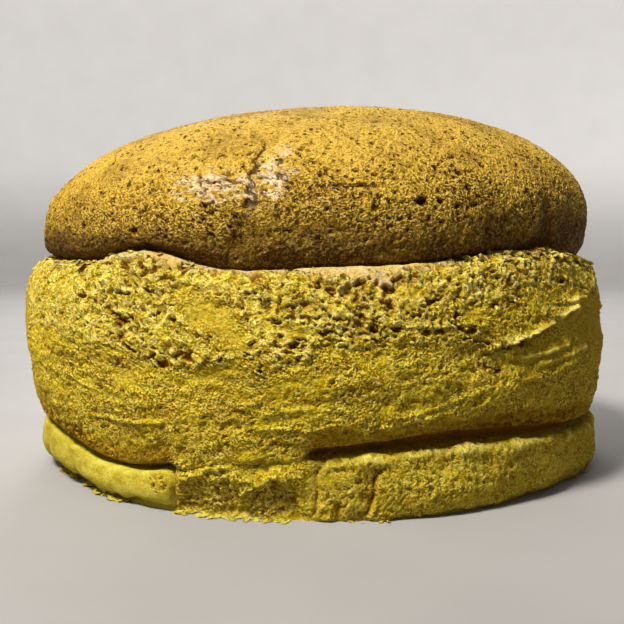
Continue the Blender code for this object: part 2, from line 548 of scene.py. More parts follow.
# Long holes: (from, to in degrees, heights, half width in mm)
FISSURES = [
    (10, 15, (43.0, 42.2, 41.6), 0.6),
    (16, 21, (41.0, 41.4, 41.2), 0.5),
    (21.5, 27, (42.6, 41.8, 41.0), 0.6),
    (24, 34, (39.8, 38.0, 36.8), 0.5),
    (-58, -56, (46, 47.5, 46), 1.5),
    (-44, -36, (48.4, 48.2, 47.0), 0.6),
    (-31, -24, (37.6, 36.0, 34.6), 0.6),
    (27, 32, (34.2, 33.0, 31.8), 0.6),
    (100, 112, (44, 43, 45), 0.6),
    (-176, -165, (42, 41.5, 43), 0.6),
    (-102, -92, (47, 46, 47), 0.6),
]
# Holes: (angle, height, half width in mm)
HOLES = [
    (-57, 42.5, 1.2),
    (-50, 43.5, 1.5),
    (-38, 47.5, 1.4),
    (-32, 43.8, 1.5),
    (-27, 50.5, 1.0),
    (-25, 44.5, 1.2),
    (-24.6, 34.0, 1.6),
    (-19.5, 35.6, 2.0),
    (-8, 33.6, 1.2),
    (-3.0, 38.8, 1.2),
    (-1.5, 44.5, 1.3),
    (2.0, 41.5, 1.2),
    (7.5, 45.5, 1.4),
    (9.0, 42.5, 1.1),
    (15.0, 45.2, 1.3),
    (20.0, 48.5, 1.1),
    (23.0, 44.5, 1.5),
    (31.0, 46.5, 1.3),
    (35.5, 48.0, 2.0),
    (42.5, 45.0, 1.8),
    (37.0, 37.4, 1.5),
    (50.0, 51.0, 1.6),
    (57.0, 48.0, 1.2),
]


def crowded(theta, height, wander):
    """1 in the holes and fissures, where pits crowd together, and 0 elsewhere."""
    crowd = np.zeros(len(theta))
    for centre, up, size in HOLES:
        wide = np.degrees(1.3 * size * MM / BELLY_RADIUS)
        crowd = np.maximum(crowd, spot(theta, height + 1.3 * wander, centre + wander, up, wide, 0.8 * size))
    for start, end, heights, width in FISSURES:
        crowd = np.maximum(crowd, ridge(theta, height + wander, start, end, heights, width))
    return crowd


def torn_share(theta, height, points):
    """1 where the skin of the belly is torn off and the crumb shows, 0 where the skin holds."""
    wander = rough(points * [1, 1, 1.6], 6 * MM, 3, seed=3)
    torn = sheer(height - TORN_EDGE - waves(theta, TORN_EDGE_WAVES) / MM + 2.4 * wander, -0.8, 0.8)
    for centre, up, width, tall in SKIN_PATCHES:
        patch = spot(theta, height, centre, up, width, tall) + 0.18 * wander
        torn *= 1 - 0.92 * sheer(patch, 0.38, 0.58)
    return torn


def crease(points, size, width, seed=0):
    """1 in the creases of billow with the same size and seed, 0 a little way off."""
    return np.exp(-((noise(points, size, seed) / width) ** 2))


def pitted(points, size, level, seed=0):
    """1 in ragged pits, 0 on the tops between them; level 0 pits half of the surface, and -1 hardly any."""
    height = rough(points, size, 4, seed) / 0.62
    return 1 - sheer(height - level, -0.18, 0.08)


def torn_relief(points, openness, crowd):
    """Relief of open crumb, and the depth of its ragged pits, in mm."""
    warped = stirred(points, 2.2 * MM, 0.7 * MM, 31)
    flat = warped * [1, 1, 1.5]
    big = pitted(flat, 2.6 * MM, -1.45 + 0.5 * openness + 1.2 * crowd, 70)
    small = pitted(warped * [1, 1, 1.3], 1.4 * MM, -1.1 + 0.65 * openness + 0.5 * crowd, 75)
    crumbs = 0.6 * noise(warped, 1.9 * MM, 6) + 0.3 * noise(points, 0.9 * MM, 7)
    out = 0.35 * billow(flat, 4.4 * MM, 4) + 0.35 * noise(flat, 6 * MM, 9) + (0.7 + 0.4 * openness) * crumbs
    return out, np.maximum(1.1 * big, 0.5 * big + 0.8 * small) * (1 - 0.15 * openness + 0.3 * crowd)


def skin_relief(points):
    """Relief of the worn skin low on the belly, and the depth of its pores, in mm."""
    flat = stirred(points, 8 * MM, 1.8 * MM, 35) * [1, 1, 2.4]
    wrinkle = 1 - billow(flat, 6.0 * MM, 12)
    scales = 1 - pitted(stirred(points, 3 * MM, 0.8 * MM, 38) * [1, 1, 1.8], 3.0 * MM, -0.1, 80)
    sandy = sheer(noise(points * [1, 1, 1.4], 10 * MM, 53), -0.5, 0.5)
    grain = 0.22 * billow(points, 1.2 * MM, 14) + 0.14 * noise(points, 0.85 * MM, 19)
    lumps = 0.42 * noise(points * [1, 1, 1.6], 9 * MM, 18) + 0.25 * noise(points * [1, 1, 1.6], 3.6 * MM, 54)
    few = pitted(points * [1, 1, 1.5], 1.5 * MM, -1.0 + 0.3 * sandy, 85)
    out = 0.2 * wrinkle**4 + 0.2 * scales + (0.6 + 0.7 * sandy) * grain + lumps - 0.4
    return out, 0.5 * few


def near_rim(place):
    """1 round the torn rim, where ragged bits of crumb and skin stand up."""
    return sheer(place, SHOULDER_PLACE - 0.6, SHOULDER_PLACE + 0.2) * sheer(-place, -12.6, -11.9)


def rim_skin(theta, place, points):
    """1 on the pale skin that hangs over the torn rim, and 1 in the gap under its ragged edge, which is dug in and
    darkened with painted shade.
    """
    wander = rough(points * [1, 1, 1.2], 3.6 * MM, 3, seed=50) + 1.3 * noise(points, 1.4 * MM, 60)
    inside = place - 12.5 + 0.36 * wander
    for centre, width, reach in RIM_SKINS:
        inside = inside + reach * np.exp(-((turn_between(theta, np.radians(centre)) / np.radians(width)) ** 4))
    holes = sheer(noise(stirred(points, 2 * MM, 0.6 * MM, 57), 3.4 * MM, 56), 0.5, 0.65)
    gap = np.exp(-(((inside + 0.2) / 0.15) ** 2)) * sheer(noise(points, 3 * MM, 55), -0.3, 0.2)
    return sheer(inside, -0.05, 0.05) * (1 - 0.85 * holes), gap


def belly_relief(theta, place, points):
    """What the wear does to the belly: see relief()."""
    height = points[:, 2] / MM
    wander = 0.7 * rough(points, 2.6 * MM, 3, 17)
    crowd = crowded(theta, height, wander)
    smooth = np.zeros(len(theta))
    for centre, up, width, tall, most in FOLDED:
        patch = spot(theta, height, centre, up, width, tall) + 0.3 * wander
        smooth = np.maximum(smooth, most * sheer(patch, 0.3, 0.7))
    torn = torn_share(theta, height, points) * (1 - sheer(smooth, 0.1, 0.6))
    torn = np.maximum(torn, sheer(crowd, 0.3, 0.6))
    openest = np.exp(-((turn_between(theta, np.radians(14)) / np.radians(34)) ** 2))
    openness = noise(points * [1, 1, 1.8], 9 * MM, 34) + 0.25 * near_rim(place) + 0.6 * openest
    openness = sheer(openness, -0.4, 1.0)
    torn_out, torn_in = torn_relief(points, openness, crowd)
    skin_out, skin_in = skin_relief(points)
    out = torn * torn_out + (1 - torn) * skin_out * (1 - 0.6 * smooth)
    pores = torn * torn_in + (1 - torn) * skin_in * (1 - smooth)
    for start, end, heights, width, rise in RIDGES:
        out += rise * ridge(theta, height, start, end, heights, width)
    ripple = wander * (0.5 - 0.1 * smooth)
    broken = 0.75 + 0.6 * noise(points, 4 * MM, 91)
    for start, end, heights, drop, rise in LIPS:
        out += rise * broken * lip(theta, height + ripple, start, end, heights, drop)
    pale, gap = rim_skin(theta, place, points)
    plain = 0.4 * noise(points, 4 * MM, 51) + 0.15 * billow(points, 1.2 * MM, 52) + 0.6
    out = (1 - pale) * out + pale * plain
    bits = sheer(noise(stirred(points, 1.5 * MM, 0.6 * MM, 58), 2.2 * MM, 59), 0.3, 0.8)
    out += 0.9 * bits * near_rim(place) * (1 - 0.8 * pale)
    # The gap under the skin's edge joins the pore depth: dug in, and darkened with painted shade.
    pores = (1 - pale) * np.maximum(pores, 1.3 * gap) + 0.25 * pale * pores
    under = (1 - fused(theta)) * sheer(0.3 * wander - place, -7.1, -6.3)
    worn_edge = sum(np.exp(-((turn_between(theta, np.radians(c)) / np.radians(w)) ** 4)) for c, w in WORN_EDGES)
    worn_edge = worn_edge * np.exp(-(((place - 6.4) / 0.5) ** 2))
    pores = np.maximum(pores, 1.1 * worn_edge * pitted(points, 1.4 * MM, -0.1, 90))
    out = out * (1 - 0.5 * under) - (1.0 + 1.3 * on_right(theta)) * under
    return {"raise": out, "pore_and_shade": pores, "torn": torn * (1 - pale), "pale": pale, "smooth": smooth}


PITS = [
    (18.5, 69.5, 1.6),
    (27, 76, 1.2),
    (33, 78, 1.0),
    (-47, 64, 1.3),
    (-32, 63, 1.2),
    (-30, 60, 1.2),
    (22, 69.6, 1.0),
    (-5.5, 75, 0.8),
]
VALLEYS = [
    (-12.2, 1.8, 0.9, 56, 68),
    (49, 2.6, 1.1, 54, 72),
    (58, 1.2, 0.5, 56, 68),
    (133, 2.6, 0.9, 56, 70),
    (-96, 2.0, 0.7, 57, 72),
]
CRACKS = [(-10.6, 0.38, 1.1, 67, 84), (140, 0.4, 0.9, 74, 86)]
SHORT_CRACKS = [
    (3, 11, (73.4, 73.0, 72.2), 0.22, 0.9),
    (-21, -12, (73.0, 74.2, 73.4), 0.22, 0.9),
    (-20, -14, (70.6, 71.4, 71.6), 0.18, 0.5),
    (-10, -4, (74.8, 74.4, 73.4), 0.20, 0.8),
    (-10, -6, (77.6, 78.0, 78.4), 0.18, 0.5),
    (12, 16, (74.5, 74.4, 74.0), 0.2, 0.6),
]
# (angle, height, half width in degrees, half height in mm) of the glossy skin on each side of the crack, whose pale
# colour is a painted highlight
GLOSSY = [(-18.5, 72.6, 8.0, 4.1), (-7.5, 75.0, 4.2, 5.8)]


def cap_relief(theta, place, points):
    """What the baking does to the cap: see relief(). Here torn is the share of glossy crackled skin, which the crust
    lightens with a painted highlight.
    """
    height = points[:, 2] / MM
    lumps = 0.40 * noise(points, 17 * MM, 21) + 0.18 * noise(points, 6 * MM, 22)
    crown = sheer(height, 58, 72)
    side = sheer(-height, -80, -66)
    leather = 0.35 * billow(stirred(points, 2 * MM, 0.5 * MM, 61), 1.7 * MM, 23) + 0.3 * billow(points, 0.9 * MM, 60)
    dimples = 0.45 * billow(stirred(points, 4 * MM, 1.2 * MM, 62), 3.6 * MM, 64)
    warped = stirred(points, 1.6 * MM, 0.4 * MM, 66)
    few = sheer(noise(points, 9 * MM, 65), -0.5, 0.4)
    pores = np.maximum.reduce(
        [
            0.75 * pitted(warped * [1, 1, 1.3], 1.2 * MM, -1.02 + 0.22 * few, 92),
            0.95 * pitted(warped * [1, 1, 1.3], 2.1 * MM, -1.24 + 0.25 * few, 96),
        ]
    )
    pores = pores * (0.5 + 0.6 * crown)
    patch = sum(spot(theta, height, *place_of) for place_of in GLOSSY)
    crackle = sheer(patch + 0.42 * rough(points * [1, 1, 1.5], 4 * MM, 3, 31), 0.3, 0.85)
    nearest, second = grains(stirred(points, 4 * MM, 1.2 * MM, 27) * [1, 1, 1.8], 4.2 * MM, 30)
    seams = crackle * np.exp(-(((second - nearest) / 0.09) ** 2))
    out = lumps + (0.5 + 0.6 * side) * (1 - 0.75 * crackle) * (leather + dimples) - 0.25 + 0.25 * crackle
    for centre, width, depth, bottom, top in VALLEYS:
        side = turn_between(theta, np.radians(centre) + 0.02 * noise(points, 9 * MM, 32)) / np.radians(width)
        out -= depth * np.exp(-(side**2)) * sheer(height, bottom, bottom + 4) * sheer(-height, -top - 2, -top + 5)
    for centre, width, depth, bottom, top in CRACKS:
        side = turn_between(theta, np.radians(centre) + 0.026 * rough(points, 4 * MM, 4, 33)) / np.radians(width)
        line = np.exp(-(side**2)) * sheer(height, bottom, bottom + 2) * sheer(-height, -top - 1, -top + 2)
        pores = np.maximum(pores, depth * line)
    wander = 0.7 * noise(points, 3 * MM, 17)
    for start, end, heights, width, depth in SHORT_CRACKS:
        pores = np.maximum(pores, depth * ridge(theta, height + wander, start, end, heights, width))
    for centre, up, size in PITS:
        hole = spot(theta, height + 0.5 * wander, centre, up, np.degrees(0.9 * size / 72), 0.6 * size)
        pores = np.maximum(pores, 1.1 * size * sheer(hole, 0.25, 0.8))
    return {"raise": out, "pore_and_shade": np.maximum(pores, 0.45 * seams), "torn": crackle}


# (angle, lean to the top, half width in degrees, depth in mm, from height, to height in mm, side that recovers slowly)
FOOT_CREASES = [
    (-24.0, -0.6, 0.5, 1.1, 0, 14, 1),
    (-12.9, 0.5, 0.4, 0.8, 0, 8, -1),
    (-3.1, -0.8, 0.3, 0.9, 0, 8, -1),
    (0.4, 0.5, 0.3, 1.1, 0, 14, -1),
    (3.6, -0.3, 0.5, 1.2, 0, 4, 0),
    (9.4, 1.2, 0.3, 1.6, 0, 12, -1),
    (33, 2.0, 1.2, 0.4, 2, 12, 0),
    (-52, -2.0, 1.4, 0.5, 0, 9, 0),
    (-66, 2.0, 1.6, 0.5, 0, 14, 0),
    (72, 1.0, 0.8, 0.9, 0, 12, 1),
    (104, 0.8, 0.6, 1.0, 0, 14, -1),
    (146, 0.6, 0.6, 1.0, 0, 14, 1),
    (158.5, 0.6, 0.5, 0.7, 0, 9, -1),
    (171, -0.6, 0.6, 1.1, 0, 14, -1),
    (-168, 0.6, 0.5, 0.8, 0, 8, 1),
    (-118, 1.0, 0.6, 1.0, 0, 14, 1),
    (-92, 0.6, 0.6, 0.7, 0, 7, -1),
]
ROLL = (-82, -24)
ROLL_END = 4.5 * MM


def foot_creases(theta, points):
    """Depth in mm of the upright creases of the foot."""
    height = points[:, 2] / MM
    depths = np.zeros(len(theta))
    for centre, lean, width, depth, bottom, top, slow in FOOT_CREASES:
        bent = np.radians(centre + lean * ((height - 6) / 6) ** 3 + 0.4 * lean * (height - 6) / 6)
        bent = bent + 0.007 * noise(points * [0.3, 0.3, 1], 3 * MM, 44)
        side = turn_between(theta, bent) / np.radians(width)
        line = np.exp(-np.abs(side) ** 1.5)
        if slow:
            line = np.maximum(line, 0.6 * np.exp(-np.abs(side) / 6) * (side * slow > 0))
        depths += depth * line * sheer(height, bottom - 1.5, bottom + 1) * sheer(-height, -top - 1, -top + 1)
    return depths


def rolled(theta, height):
    """1 on the smooth rounded roll of the foot, and how far in mm it stands out from the plain wall."""
    start, end = np.radians(ROLL)
    inside = np.minimum(turn_between(theta, start), -turn_between(theta, end)) * FOOT_RADIUS / ROLL_END
    ends = np.sqrt(1 - (1 - np.clip(inside, 0, 1)) ** 2)
    middle = 0.6 * crease_height(theta) / MM
    round_up = 1 - np.clip(np.abs(height - middle) / middle, 0, 1) ** 2.1
    return sheer(inside, 0, 0.1), 2.1 * round_up - 1.3 - 2.2 * (1 - ends)


def foot_relief(theta, place, points):
    """What the baking and the board do to the foot: see relief()."""
    height = points[:, 2] / MM
    joined = fused(theta)
    roll, roll_out = rolled(theta, height)
    right = sheer(np.sin(theta), 0.0, 0.1)
    grain = 0.15 * noise(points, 1.0 * MM, 41) + 0.05 * billow(points, 1.3 * MM, 40) * right
    grain = (grain + 0.24 * noise(points * [1, 1, 1.6], 3.2 * MM, 46)) * (1 - 0.6 * roll)
    skin_out, skin_in = skin_relief(points)
    ragged, crumbly = np.zeros(len(theta)), np.zeros(len(theta))
    ripple = 0.75 * rough(points, 2.2 * MM, 3, 17)
    for start, end, heights, drop, rise in FOOT_LIPS:
        line, fade = along_line(theta, start, end, heights)
        ragged = np.maximum(ragged, rise * lip(theta, height + ripple, start, end, heights, drop))
        crumbly = np.maximum(crumbly, fade * sheer(line - height - ripple, -0.1, 0.5))
    coarse = 0.45 * billow(points, 1.8 * MM, 47) + 0.45 * noise(points, 0.95 * MM, 48) - 0.15
    out = (1 - joined) * grain + joined * ((1 - crumbly) * (skin_out + 0.2) + crumbly * coarse) + ragged
    pores = 0.5 * pitted(points, 0.95 * MM, -0.85 + 0.35 * right, 43) * (1 - roll)
    pores = (1 - joined) * pores + joined * (skin_in + 0.6 * crumbly * pitted(points, 1.3 * MM, -0.5, 86))
    dots = sheer(spot(theta, height, -27.5, 6.6, 2.1, 2.0) + 0.4 * noise(points, 1.2 * MM, 87), 0.25, 0.6)
    pores = np.maximum(pores, 0.75 * dots * pitted(points, 0.75 * MM, -0.3, 90))
    creases = foot_creases(theta, points)
    bits = sheer(noise(stirred(points, 1.2 * MM, 0.5 * MM, 88), 1.9 * MM, 89), 0.1, 0.7)
    bead = (1 - joined) * np.exp(-(((place - 3.9) / 0.42) ** 2))
    bits = bits * sheer(noise(points, 7 * MM, 38), -0.3, 0.5) * sheer(np.sin(theta), 0.12, 0.3)
    swell = 0.5 * sheer(noise(points, 6 * MM, 93), -0.1, 0.5) + 0.4 * waves(theta, [(25, 5, 1)]) / MM
    out += bead * (0.2 + 0.3 * on_right(theta) + 0.9 * bits + right * swell)
    ragged_edge = np.exp(-((turn_between(theta, np.radians(-50)) / np.radians(20)) ** 4))
    edge = 0.7 * rough(points * [1, 1, 0.5], 6 * MM, 4, 45) - 0.2 + 1.8 * ragged_edge * noise(points, 2.2 * MM, 49)
    edge = edge * sheer(-height, -3.2, -0.3)
    lumps = 0.55 * noise(points * [1, 1, 0.7], 8 * MM, 42)
    return {
        "raise": out - 1.0 * creases,
        "shape": edge + lumps + roll * roll_out - 0.2 * creases - 0.5 * crumbly * joined,
        "pore_and_shade": pores,
        "torn": 0.5 * joined * crumbly,
        # The bead's share of pale lime is a painted highlight along the foot's top edge.
        "pale": (1 - joined) * (0.25 + 0.5 * roll + 0.25 * bead) * (1 - 0.2 * dots),
        "smooth": (1 - joined) * (0.3 + 0.5 * roll + 0.1 * bead) * (1 - 0.4 * dots),
    }


RELIEF_VALUES = ("raise", "shape", "pore_and_shade", "torn", "pale", "smooth")


def relief(theta, place, points, outward):
    """Points of the worn wall, and the values that its materials read.

    Each zone gives its fine relief ("raise"), broad forms ("shape") and pore depth ("pore_and_shade") in mm, and
    its shares of torn crumb ("torn"), pale skin ("pale") and smooth skin ("smooth"). The materials darken the pore
    depth with painted shade, and along the crease it is painted shade only.
    """
    values = {key: np.zeros(len(theta)) for key in RELIEF_VALUES}
    zones = [
        (foot_relief, place < CREASE_PLACE),
        (belly_relief, (place >= CREASE_PLACE) & (place < NECK_PLACE)),
        (cap_relief, place >= NECK_PLACE),
    ]
    for zone, here in zones:
        for key, found in zone(theta[here], place[here], points[here]).items():
            values[key][here] = found
    joined = fused(theta)
    calm = sheer(np.abs(place - NECK_PLACE), 0.2, 1.1)
    calm *= 1 - (1 - joined) * (1 - sheer(np.abs(place - CREASE_PLACE), 0.1, 0.6))
    calm *= sheer(place, 0, 0.3)
    values["raise"] *= calm
    values["pore_and_shade"] *= calm
    shape = values.pop("shape") * calm + bridged(theta, place) * sheer(place, 0, 0.5) - gape(theta, place)
    moved = points + ((values["raise"] + shape - values["pore_and_shade"]) * MM)[:, None] * outward
    moved[:, 2] = np.maximum(moved[:, 2], 0)
    # Painted shade along the crease: this raises only the value that the materials darken, as the wall has already
    # moved.
    values["pore_and_shade"] = np.maximum(values["pore_and_shade"], 0.9 * (1 - joined) * np.exp(-(((place - 5.2) / 0.45) ** 2)))
    return moved, values


def build_wall():
    """All rings of the wall: points, triangles, the piece of each triangle, and what the materials read."""
    rings = wall_rings()
    counts = np.array([count for _, count, _ in rings])
    starts = np.concatenate([[0], np.cumsum(counts)])
    theta = np.concatenate([np.arange(n) * 2 * np.pi / n for n in counts])
    place = np.repeat([p for p, _, _ in rings], counts)
    piece = [index for _, _, index in rings]
    points = surface(theta, place)
    outward = outward_of(theta, place)
    points, values = relief(theta, place, points, outward)
    faces, owners = [], []
    for k in range(len(rings) - 1):
        found = between_rings(starts[k], counts[k], starts[k + 1], counts[k + 1])
        faces.append(found)
        owners.append(np.full(len(found), piece[k]))
    top = starts[len(rings) - 1]
    apex = len(points)
    i = np.arange(counts[-1])
    faces.append(np.stack([top + i, top + (i + 1) % counts[-1], np.full(counts[-1], apex)], 1))
    owners.append(np.full(counts[-1], piece[-1]))
    points = np.concatenate([points, [points[top:apex].mean(0)]])
    values = {key: np.append(value, 0) for key, value in values.items()}
    values["theta"] = np.append(theta, 0)
    values["place"] = np.append(place, LAST_PLACE)
    return points, np.concatenate(faces), np.concatenate(owners), values


MATERIAL_VALUES = ("pore_and_shade", "raise", "torn", "pale", "smooth")
TORN_CRUMBS = 1300
# (from, to in degrees, count, size in mm, share of pale ones)
RIM_FLAKES = [
    (-60, -44, 24, 1.8, 0.3),
    (-42, -20, 14, 1.5, 0.5),
    (24, 44, 16, 1.4, 0.4),
    (44, 62, 30, 2.1, 0.4),
    (62, 300, 90, 1.5, 0.4),
]
# (from, to in degrees, count, size in mm, thickness as a share of size)
BASE_CRUMBS = [
    (-25, -15, 26, 1.2, 0.15),
    (-15, -4, 44, 0.9, 0.2),
    (-66, -36, 54, 1.1, 0.3),
    (5.5, 8.5, 9, 0.5, 0.4),
    (10, 14, 7, 0.45, 0.4),
    (58, 63, 5, 0.7, 0.6),
    (64, 300, 50, 0.7, 0.4),
]


def new_piece(name, points, faces, normals, values, material, flat=None):
    """A smooth mesh object with vertex normals, float attributes and, if given, texture coordinates."""
    mesh = bpy.data.meshes.new(name)
    mesh.vertices.add(len(points))
    mesh.vertices.foreach_set("co", points.astype(np.float32).ravel())
    mesh.loops.add(faces.size)
    mesh.loops.foreach_set("vertex_index", faces.astype(np.int32).ravel())
    mesh.polygons.add(len(faces))
    mesh.polygons.foreach_set("loop_start", np.arange(0, faces.size, 3, dtype=np.int32))
    mesh.update(calc_edges=True)
    mesh.shade_smooth()
    mesh.normals_split_custom_set_from_vertices(normals)
    for key, value in values.items():
        attribute = mesh.attributes.new(key, "FLOAT", "POINT")
        attribute.data.foreach_set("value", value.astype(np.float32))
    if flat is not None:
        mesh.uv_layers.new(name="OFBake").uv.foreach_set("vector", flat.astype(np.float32).ravel())
    mesh.materials.append(material)
    made = bpy.data.objects.new(name, mesh)
    bpy.context.scene.collection.objects.link(made)
    return made


def lengths_along():
    """Places on the outline and their mean distance along it from the base."""
    theta = np.linspace(0, 2 * np.pi, 48, endpoint=False)
    places = np.linspace(0, LAST_PLACE, 900)
    rings = np.array([surface(theta, np.full(48, place)) for place in places])
    steps = np.linalg.norm(np.diff(rings, axis=0), axis=2).mean(1)
    return places, np.concatenate([[0], np.cumsum(steps)])


def flat_map(faces, values, start, end, places, lengths):
    """Texture coordinates for each corner: a ring cut into rows, or a disc round the apex."""
    theta = values["theta"][faces]
    along = np.interp(values["place"][faces], places, lengths)
    first, last = np.interp([start, end], places, lengths)
    if end == LAST_PLACE:
        reach = (last - along) / (last - first) * 0.495
        return np.stack([0.5 + reach * np.sin(theta), 0.5 + reach * np.cos(theta)], 2)
    centre = theta[:, :1]
    theta = centre + turn_between(theta, centre)
    middle = theta.mean(1, keepdims=True) / (2 * np.pi) % 1
    rows = max(1, int(round(np.sqrt(2 * np.pi * BELLY_RADIUS / (last - first)))))
    row = np.floor(middle * rows)
    turn = theta / (2 * np.pi) - np.round(theta.mean(1, keepdims=True) / (2 * np.pi) - middle)
    across = 0.01 + 0.98 * (turn * rows - row)
    up = (row + 0.03 + 0.94 * (along - first) / (last - first)) / rows
    return np.stack([across, up], 2)


def add_wall(crumb, crust):
    points, faces, owners, values = build_wall()
    normals = vertex_normals(points, faces)
    places, lengths = lengths_along()
    made = []
    for index, (name, start, end, _) in enumerate(PARTS):
        mine = faces[owners == index]
        used, local = np.unique(mine, return_inverse=True)
        local = local.reshape(-1, 3)
        kept = {key: value[used] for key, value in values.items()}
        material = crust if name.startswith("cap") else crumb
        flat = flat_map(local, kept, start, end, places, lengths)
        for key in ("theta", "place"):
            del kept[key]
        made.append(new_piece(name, points[used], local, normals[used], kept, material, flat))
        print(name, len(mine), "triangles")
    return made + [add_base(crumb, points[values["place"] == 0])] + add_bits(crumb, points, normals, values)


def add_base(crumb, edge):
    """The flat underside, which closes the wall."""
    shrink = np.linspace(1, 0.04, 9)
    points = np.concatenate([edge * [k, k, 1] for k in shrink])
    starts = np.arange(len(shrink)) * len(edge)
    rings = [between_rings(low, len(edge), low + len(edge), len(edge)) for low in starts[:-1]]
    i = np.arange(len(edge))
    rings.append(np.stack([starts[-1] + i, starts[-1] + (i + 1) % len(edge), np.full(len(edge), len(points))], 1))
    points = np.concatenate([points, [[0, 0, 0]]])
    faces = np.concatenate(rings)[:, ::-1]
    values = {key: np.full(len(points), 0.5 if key == "smooth" else 0.0) for key in MATERIAL_VALUES}
    down = np.tile([0.0, 0.0, -1.0], (len(points), 1))
    flat = 0.5 + 0.5 * points[faces][:, :, :2] / BELLY_RADIUS
    return new_piece("base", points, faces, down, values, crumb, flat)


def ball(subdivisions):
    """Points and triangles of a unit ball."""
    made = bmesh.new()
    bmesh.ops.create_icosphere(made, subdivisions=subdivisions, radius=1)
    points = np.array([v.co for v in made.verts])
    faces = np.array([[v.index for v in face.verts] for face in made.faces])
    made.free()
    return points, faces


def add_chunks(name, crumb, places, normals, sizes, pale, subdivisions, dice):
    """Ragged bits of crumb or skin: each has its middle, the way its thin side faces, and its three sizes."""
    shape, triangles = ball(subdivisions)
    points, faces = [], []
    for k, (place, normal, size) in enumerate(zip(places, normals, sizes)):
        along = np.cross([0, 0, 1], normal)
        along /= max(np.linalg.norm(along), 1e-9)
        turn = dice.uniform(-0.6, 0.6)
        side = np.cross(normal, along)
        wide = np.cos(turn) * along + np.sin(turn) * side
        tall = np.cross(normal, wide)
        uneven = 1 + 1.1 * rough(shape + dice.uniform(0, 60, 3), 1.1, 2, 5)
        scaled = shape * uneven[:, None] * size
        points.append(place + scaled @ np.array([wide, tall, normal]))
        faces.append(triangles + k * len(shape))
    points = np.concatenate(points)
    points[:, 2] = np.maximum(points[:, 2], 0)
    faces = np.concatenate(faces)
    each = len(shape)
    values = {
        "pore_and_shade": np.zeros(len(points)),
        "raise": np.repeat(dice.uniform(-0.3, 1.0, len(places)), each),
        "torn": np.ones(len(points)),
        "pale": np.repeat(pale, each),
        "smooth": np.full(len(points), 0.2),
    }
    return new_piece(name, points, faces, vertex_normals(points, faces), values, crumb)


def add_bits(crumb, points, normals, values):
    """Loose crumbs on the torn wall, ragged skin along the rim, and crumbs round the foot of the cake."""
    dice = np.random.default_rng(7)
    loose = (values["torn"] > 0.6) & (values["pore_and_shade"] < 0.9) & (values["place"] > LIP_PLACE)
    picked = dice.choice(np.flatnonzero(loose), TORN_CRUMBS, replace=False)
    size = dice.uniform(0.18, 0.44, (TORN_CRUMBS, 1)) * dice.uniform(0.5, 1.3, (TORN_CRUMBS, 3)) * MM
    out = normals[picked] + dice.normal(0, 0.4, (TORN_CRUMBS, 3))
    out /= np.linalg.norm(out, axis=1, keepdims=True)
    made = [add_chunks("torn_crumbs", crumb, points[picked], out, size, np.zeros(TORN_CRUMBS), 1, dice)]
    theta, place, sizes, pale = [], [], [], []
    for start, end, count, size, share in RIM_FLAKES:
        theta.append(np.radians(dice.uniform(start, end, count)))
        place.append(dice.uniform(11.2, 12.4, count))
        scale = size * dice.uniform(0.5, 1.2, (count, 1)) * MM
        sizes.append(scale * np.stack([dice.uniform(0.6, 1.1, count), dice.uniform(0.3, 0.7, count), np.full(count, 0.16)], 1))
        pale.append(np.where(dice.random(count) < share, 0.85, 0.1))
    theta, place = np.concatenate(theta), np.concatenate(place)
    outward = outward_of(theta, place) + dice.normal(0, 0.35, (len(theta), 3))
    outward /= np.linalg.norm(outward, axis=1, keepdims=True)
    middle = surface(theta, place) + 0.5 * MM * outward_of(theta, place)
    made.append(add_chunks("rim_flakes", crumb, middle, outward, np.concatenate(sizes), np.concatenate(pale), 2, dice))
    theta, radius, sizes = [], [], []
    for start, end, count, size, flatness in BASE_CRUMBS:
        theta.append(np.radians(dice.uniform(start, end, count)))
        radius.append(dice.uniform(-0.8, 2.2, count) * MM)
        scale = size * dice.uniform(0.5, 1.3, (count, 1)) * MM
        sizes.append(scale * np.stack([np.ones(count), np.full(count, 0.7), np.full(count, flatness)], 1))
    theta, radius, sizes = np.concatenate(theta), np.concatenate(radius), np.concatenate(sizes)
    middle = surface(theta, np.zeros(len(theta)))
    out = np.stack([np.sin(theta), -np.cos(theta), 0 * theta], 1)
    middle = middle + radius[:, None] * out + sizes[:, 2:] * [0, 0, 0.8]
    up = np.tile([0.0, 0.0, 1.0], (len(theta), 1)) + dice.normal(0, 0.15, (len(theta), 3))
    up /= np.linalg.norm(up, axis=1, keepdims=True)
    made.append(add_chunks("base_crumbs", crumb, middle, up, sizes, np.full(len(theta), 0.5), 2, dice))
    return made


# ---------------------------------------------------------------- materials


def srgb(red, green, blue):
    """Linear colour from 0 to 255 display values."""
    def linear(x):
        x /= 255
        return x / 12.92 if x <= 0.04045 else ((x + 0.055) / 1.055) ** 2.4

    return (linear(red), linear(green), linear(blue), 1)


